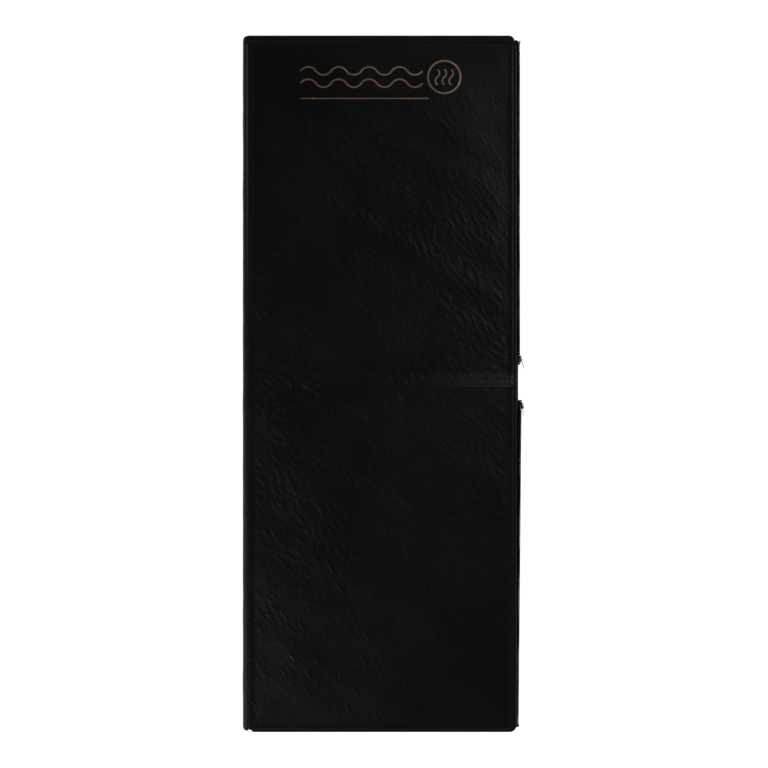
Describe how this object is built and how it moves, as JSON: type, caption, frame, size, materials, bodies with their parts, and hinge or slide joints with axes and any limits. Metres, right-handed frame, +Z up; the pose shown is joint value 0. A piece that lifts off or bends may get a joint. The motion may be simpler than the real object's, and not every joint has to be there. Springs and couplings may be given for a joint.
{
  "type": "infrared sauna blanket",
  "caption": "Flat zipped infrared sauna blanket of black leather-look panels with layered heaters inside, a side zip with a hand gap, and a cover that opens like a book.",
  "frame": {"origin": "middle of the closed blanket's footprint, on the surface it lies on", "axes": "+X towards the zip side, +Y towards the neck end, +Z up"},
  "size_m": [0.729, 1.8, 0.0327],
  "materials": {
    "outer_leather": "black pebbled PU leather, satin",
    "lining_leather": "smooth wipe-clean black PU",
    "insulation_felt": "needle-punched cotton felt",
    "heat_felt": "thin white fleece",
    "foil": "bright reflective foil",
    "heater_cord": "silicone-coated carbon fibre cord",
    "wire_rubber": "black wire insulation",
    "device_plastic": "moulded heat-proof plastic",
    "zip_tape": "woven black zip tape",
    "zip_coil": "black nylon coil",
    "zip_metal": "black enamelled zinc",
    "hook_and_loop": "black hook-and-loop strip",
    "inlet_plastic": "black moulded plastic",
    "inlet_metal": "brushed steel",
    "contact_brass": "bright brass",
    "thread": "black polyester thread",
    "copper_foil": "copper-coloured foil print"
  },
  "bodies": {
    "base": {"base_gap_binding": "outer_leather", "base_heat_felt": "heat_felt", "base_heater_carrier": "heat_felt", "base_inner_lining": "lining_leather", "base_insulation_pad": "insulation_felt", "base_junction_block": "device_plastic", "base_link_cable": "wire_rubber", "base_lower_heater_cord": "heater_cord", "base_lower_zip_coil": "zip_coil", "base_lower_zip_tape": "zip_tape", "base_neck_hem": "outer_leather", "base_outer_shell": "outer_leather", "base_power_leads": "wire_rubber", "base_reflective_foil": "foil", "base_temperature_sensor": "wire_rubber", "base_thermal_cutouts": "device_plastic", "base_upper_heater_cord": "heater_cord", "base_upper_zip_coil": "zip_coil", "base_upper_zip_tape": "zip_tape", "base_zip_stops": "zip_metal", "foot_hook_strip": "hook_and_loop", "inlet_contact_pins": "contact_brass", "inlet_flange": "inlet_metal", "inlet_housing": "inlet_plastic", "inlet_screws": "inlet_metal", "spine_cable_loop": "wire_rubber", "spine_lining_strip": "lining_leather", "spine_strip": "outer_leather"},
    "cover": {"cover_edge_piping": "outer_leather", "cover_foil_emblem": "copper_foil", "cover_gap_binding": "outer_leather", "cover_heat_felt": "heat_felt", "cover_heater_carrier": "heat_felt", "cover_hem_thread": "thread", "cover_inner_lining": "lining_leather", "cover_insulation_pad": "insulation_felt", "cover_junction_block": "device_plastic", "cover_link_cable": "wire_rubber", "cover_lower_heater_cord": "heater_cord", "cover_lower_zip_coil": "zip_coil", "cover_lower_zip_tape": "zip_tape", "cover_neck_hem": "outer_leather", "cover_outer_shell": "outer_leather", "cover_power_leads": "wire_rubber", "cover_reflective_foil": "foil", "cover_temperature_sensor": "wire_rubber", "cover_thermal_cutouts": "device_plastic", "cover_upper_heater_cord": "heater_cord", "cover_upper_zip_coil": "zip_coil", "cover_upper_zip_tape": "zip_tape", "cover_zip_stops": "zip_metal", "foot_loop_strip": "hook_and_loop"},
    "upper_slider": {"upper_slider": "zip_metal"},
    "upper_pull": {"upper_slider_pull": "zip_metal"},
    "lower_slider": {"lower_slider": "zip_metal"},
    "lower_pull": {"lower_slider_pull": "zip_metal"}
  },
  "joints": [
    {"name": "cover_hinge", "type": "hinge", "parent": "base", "child": "cover", "pos_m": [-0.36098, 0, 0.0162], "axis": [0, -1, 0], "range_deg": [0, 180], "deforming": ["spine_strip", "spine_lining_strip", "spine_cable_loop"]},
    {"name": "upper_slider_slide", "type": "slide", "parent": "base", "child": "upper_slider", "axis": [0, 1, 0], "range_m": [0, 0.804]},
    {"name": "lower_slider_slide", "type": "slide", "parent": "base", "child": "lower_slider", "axis": [-0.009, -1, 0], "range_m": [0, 0.811]},
    {"name": "upper_pull_flip", "type": "hinge", "parent": "upper_slider", "child": "upper_pull", "pos_m": [0.35612, 0.064, 0.0162], "axis": [0, 0, 1], "range_deg": [-16, 160]},
    {"name": "lower_pull_flip", "type": "hinge", "parent": "lower_slider", "child": "lower_pull", "pos_m": [0.36003, -0.05705, 0.0162], "axis": [0, 0, 1], "range_deg": [-1, 174]}
  ]
}
